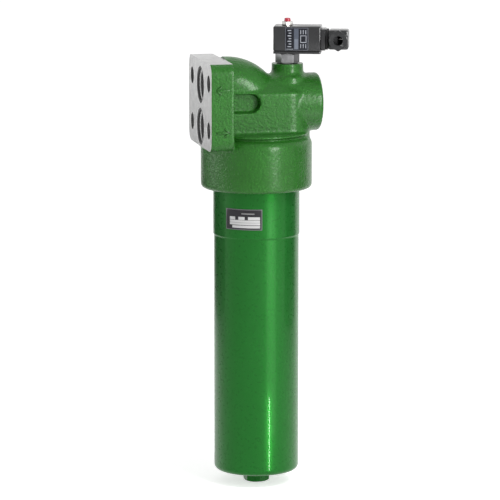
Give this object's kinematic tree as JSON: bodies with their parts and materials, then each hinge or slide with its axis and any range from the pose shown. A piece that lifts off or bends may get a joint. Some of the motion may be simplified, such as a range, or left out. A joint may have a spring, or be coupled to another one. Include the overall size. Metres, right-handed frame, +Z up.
{
  "type": "hydraulic pressure filter",
  "caption": "Flange-mounted pressure filter with a cast head, a long screwed-on bowl, and a clogging indicator with a red reset button and a plug connector.",
  "frame": {"origin": "on the machined mounting face, midway between the outlet port and the inlet port", "axes": "-X out of the mounting face, +Z up along the bowl's axis, Y across the flange"},
  "size_m": [0.194, 0.146, 0.6075],
  "materials": {
    "green_paint": "glossy green enamel, over a sand-cast skin on the head",
    "bare_steel": "machined steel",
    "spring_steel": "oiled spring wire",
    "nickel": "bright nickel plate",
    "brass": "turned brass",
    "black_plastic": "satin black moulding",
    "grey_plastic": "satin grey moulding",
    "red_plastic": "glossy red moulding",
    "black_rubber": "matt nitrile rubber",
    "white_plastic": "off-white moulding",
    "label_foil": "dark printed foil with no text",
    "filter_cloth": "pleated glass-fibre cloth",
    "magnet": "sintered magnet"
  },
  "bodies": {
    "head": {"filter_head": "green_paint", "inlet_port_seal": "black_rubber", "outlet_port_seal": "black_rubber", "outlet_spigot": "bare_steel", "bypass_seat": "bare_steel", "bypass_spring": "spring_steel", "indicator_body": "bare_steel", "indicator_seal": "black_rubber", "piston_spring": "spring_steel", "piston_stop_ring": "spring_steel", "swivel_ring": "spring_steel"},
    "element": {"element_top_cap": "white_plastic", "element_bottom_cap": "white_plastic", "element_core": "bare_steel", "element_media": "filter_cloth", "element_seal": "black_rubber"},
    "bowl": {"filter_bowl": "green_paint", "bowl_seal": "black_rubber", "bowl_backup_ring": "white_plastic", "data_plate": "label_foil", "support_spring": "spring_steel"},
    "drain_washer": {"drain_seal": "brass"},
    "drain_plug": {"drain_plug": "bare_steel"},
    "bypass_valve": {"bypass_poppet": "bare_steel", "bypass_retainer": "bare_steel"},
    "cover_washer": {"bypass_plug_seal": "black_rubber"},
    "cover_plug": {"bypass_plug": "bare_steel"},
    "piston": {"indicator_piston": "brass", "piston_magnet": "magnet"},
    "switch": {"switch_base": "black_plastic", "switch_housing": "black_plastic", "name_plate": "label_foil", "reed_switch": "grey_plastic", "button_bezel": "nickel", "button_spring": "spring_steel", "connector_socket": "black_plastic"},
    "button": {"reset_button": "red_plastic"},
    "plug": {"plug_gasket": "black_rubber", "plug_cap": "black_plastic", "terminal_insert": "grey_plastic", "plug_screw": "bare_steel", "gland_seal": "black_rubber"},
    "gland_washer": {"gland_washer": "bare_steel"},
    "gland_nut": {"gland_nut": "black_plastic"}
  },
  "joints": [
    {"name": "bowl_lower", "type": "slide", "parent": "head", "child": "element", "axis": [0, 0, -1], "range_m": [0, 0.02402]},
    {"name": "bowl_turn", "type": "hinge", "parent": "element", "child": "bowl", "pos_m": [0.074, 0, 0], "axis": [0, 0, -1], "range_deg": [0, 1440]},
    {"name": "drain_out", "type": "slide", "parent": "bowl", "child": "drain_washer", "axis": [0, 0, -1], "range_m": [0, 0.01634]},
    {"name": "drain_turn", "type": "hinge", "parent": "drain_washer", "child": "drain_plug", "pos_m": [0.074, 0, 0], "axis": [0, 0, -1], "range_deg": [0, 3240]},
    {"name": "bypass_open", "type": "slide", "parent": "head", "child": "bypass_valve", "axis": [-1, 0, 0], "range_m": [0, 0.006], "stiffness_N_per_m": 3000, "deforming": ["bypass_spring"]},
    {"name": "cover_out", "type": "slide", "parent": "head", "child": "cover_washer", "axis": [1, 0, 0], "range_m": [0, 0.01202]},
    {"name": "cover_turn", "type": "hinge", "parent": "cover_washer", "child": "cover_plug", "pos_m": [0.074, 0, 0.0015], "axis": [1, 0, 0], "range_deg": [0, 2160]},
    {"name": "switch_turn", "type": "hinge", "parent": "head", "child": "switch", "pos_m": [0.115, 0, 0], "axis": [0, 0, 1], "range_deg": [-180, 180]},
    {"name": "button_press", "type": "slide", "parent": "switch", "child": "button", "axis": [0, 0, -1], "range_m": [0, 0.004], "stiffness_N_per_m": 150, "deforming": ["button_spring"]},
    {"name": "piston_move", "type": "slide", "parent": "head", "child": "piston", "axis": [0, 0, 1], "range_m": [0, 0.004], "deforming": ["piston_spring"]},
    {"name": "plug_pull", "type": "slide", "parent": "switch", "child": "plug", "axis": [0.9532, -0.3024, 0], "range_m": [0, 0.02]},
    {"name": "gland_out", "type": "slide", "parent": "plug", "child": "gland_washer", "axis": [-0.3024, -0.9532, 0], "range_m": [0, 0.00452]},
    {"name": "gland_turn", "type": "hinge", "parent": "gland_washer", "child": "gland_nut", "pos_m": [0.17877, -0.02023, 0.0836], "axis": [-0.3024, -0.9532, 0], "range_deg": [0, 1080]}
  ],
  "couplings": [
    {"joint": "bowl_lower", "follows": "bowl_turn", "m_per_rad": 0.00095493},
    {"joint": "drain_out", "follows": "drain_turn", "m_per_rad": 0.00028871},
    {"joint": "cover_out", "follows": "cover_turn", "m_per_rad": 0.00031831},
    {"joint": "piston_move", "follows": "button_press", "ratio": 1},
    {"joint": "gland_out", "follows": "gland_turn", "m_per_rad": 0.00023873}
  ]
}
